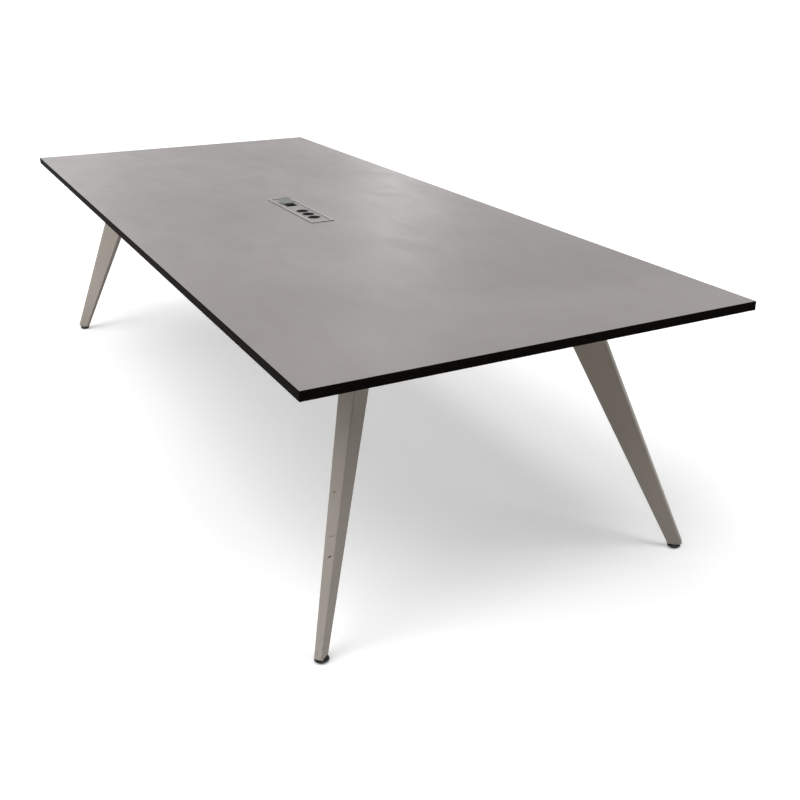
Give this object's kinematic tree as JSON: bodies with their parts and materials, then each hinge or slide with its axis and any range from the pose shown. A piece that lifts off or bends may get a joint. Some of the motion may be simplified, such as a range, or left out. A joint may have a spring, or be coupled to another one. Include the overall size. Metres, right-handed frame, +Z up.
{
  "type": "conference table",
  "caption": "Long rectangular conference table with a grey laminate top, black edge band, a flush power module in the middle and raked blade legs on levelling feet.",
  "frame": {"origin": "on the floor, under the middle of the top", "axes": "+X along the table's length, from the blank end of the power module towards its sockets; +Y across the table; +Z up"},
  "size_m": [3, 1.2, 0.7588],
  "materials": {
    "laminate": "satin grey high-pressure laminate with a fine mottle",
    "board": "raw particle board",
    "backing": "plain grey balancing laminate",
    "edge_band": "black satin edge band",
    "leg_paint": "fine-textured taupe-grey powder coat with a few scuffs",
    "frame_paint": "black powder coat",
    "zinc_steel": "zinc-plated steel",
    "glide_plastic": "black moulded polyamide",
    "plug_plastic": "black moulded polyamide",
    "module_silver": "satin silver anodised aluminium",
    "face_silver": "satin silver plate",
    "socket_black": "black moulded socket plastic",
    "flap_grey": "greenish-grey moulded plastic",
    "housing_metal": "bare folded sheet"
  },
  "bodies": {
    "table": {"top_laminate": "laminate", "top_core": "board", "top_backing": "backing", "edge_band_front": "edge_band", "edge_band_rear": "edge_band", "edge_band_left": "edge_band", "edge_band_right": "edge_band", "leg_front_left": "leg_paint", "leg_front_right": "leg_paint", "leg_rear_left": "leg_paint", "leg_rear_right": "leg_paint", "leg_plate_front_left": "leg_paint", "leg_plate_front_right": "leg_paint", "leg_plate_rear_left": "leg_paint", "leg_plate_rear_right": "leg_paint", "side_rail_front": "frame_paint", "side_rail_rear": "frame_paint", "end_rail_left": "frame_paint", "end_rail_right": "frame_paint", "middle_rail_left": "frame_paint", "middle_rail_right": "frame_paint", "side_bolt_front_left": "zinc_steel", "side_bolt_front_right": "zinc_steel", "side_bolt_rear_left": "zinc_steel", "side_bolt_rear_right": "zinc_steel", "end_bolt_front_left": "zinc_steel", "end_bolt_front_right": "zinc_steel", "end_bolt_rear_left": "zinc_steel", "end_bolt_rear_right": "zinc_steel", "top_screw_1": "zinc_steel", "top_screw_2": "zinc_steel", "top_screw_3": "zinc_steel", "top_screw_4": "zinc_steel", "top_screw_5": "zinc_steel", "top_screw_6": "zinc_steel", "flap_pin": "zinc_steel", "module_clamp_left": "zinc_steel", "module_clamp_right": "zinc_steel", "leg_plug_front_left": "plug_plastic", "leg_plug_front_right": "plug_plastic", "leg_plug_rear_left": "plug_plastic", "leg_plug_rear_right": "plug_plastic", "power_gland": "plug_plastic", "data_gland": "plug_plastic", "module_bezel": "module_silver", "module_face_plate": "face_silver", "socket_1": "socket_black", "socket_2": "socket_black", "socket_3": "socket_black", "data_block": "socket_black", "module_housing": "housing_metal"},
    "pad_front_left": {"foot_pad_front_left": "glide_plastic"},
    "stem_front_left": {"foot_stem_front_left": "zinc_steel"},
    "pad_front_right": {"foot_pad_front_right": "glide_plastic"},
    "stem_front_right": {"foot_stem_front_right": "zinc_steel"},
    "pad_rear_left": {"foot_pad_rear_left": "glide_plastic"},
    "stem_rear_left": {"foot_stem_rear_left": "zinc_steel"},
    "pad_rear_right": {"foot_pad_rear_right": "glide_plastic"},
    "stem_rear_right": {"foot_stem_rear_right": "zinc_steel"},
    "data_flap": {"data_flap": "flap_grey"}
  },
  "joints": [
    {"name": "foot_rise_front_left", "type": "slide", "parent": "table", "child": "pad_front_left", "axis": [0, 0, 1], "range_m": [-0.009, 0]},
    {"name": "foot_turn_front_left", "type": "hinge", "parent": "pad_front_left", "child": "stem_front_left", "pos_m": [-1.372, -0.535, 0], "axis": [0, 0, 1], "range_deg": [-2160, 0]},
    {"name": "foot_rise_front_right", "type": "slide", "parent": "table", "child": "pad_front_right", "axis": [0, 0, 1], "range_m": [-0.009, 0]},
    {"name": "foot_turn_front_right", "type": "hinge", "parent": "pad_front_right", "child": "stem_front_right", "pos_m": [1.372, -0.535, 0], "axis": [0, 0, 1], "range_deg": [-2160, 0]},
    {"name": "foot_rise_rear_left", "type": "slide", "parent": "table", "child": "pad_rear_left", "axis": [0, 0, 1], "range_m": [-0.009, 0]},
    {"name": "foot_turn_rear_left", "type": "hinge", "parent": "pad_rear_left", "child": "stem_rear_left", "pos_m": [-1.372, 0.535, 0], "axis": [0, 0, 1], "range_deg": [-2160, 0]},
    {"name": "foot_rise_rear_right", "type": "slide", "parent": "table", "child": "pad_rear_right", "axis": [0, 0, 1], "range_m": [-0.009, 0]},
    {"name": "foot_turn_rear_right", "type": "hinge", "parent": "pad_rear_right", "child": "stem_rear_right", "pos_m": [1.372, 0.535, 0], "axis": [0, 0, 1], "range_deg": [-2160, 0]},
    {"name": "data_flap_hinge", "type": "hinge", "parent": "table", "child": "data_flap", "pos_m": [-0.1068, 0, 0.7478], "axis": [0, 1, 0], "range_deg": [-12, 168]}
  ],
  "couplings": [
    {"joint": "foot_turn_front_left", "follows": "foot_rise_front_left", "rad_per_m": 4188.8},
    {"joint": "foot_turn_front_right", "follows": "foot_rise_front_right", "rad_per_m": 4188.8},
    {"joint": "foot_turn_rear_left", "follows": "foot_rise_rear_left", "rad_per_m": 4188.8},
    {"joint": "foot_turn_rear_right", "follows": "foot_rise_rear_right", "rad_per_m": 4188.8}
  ]
}
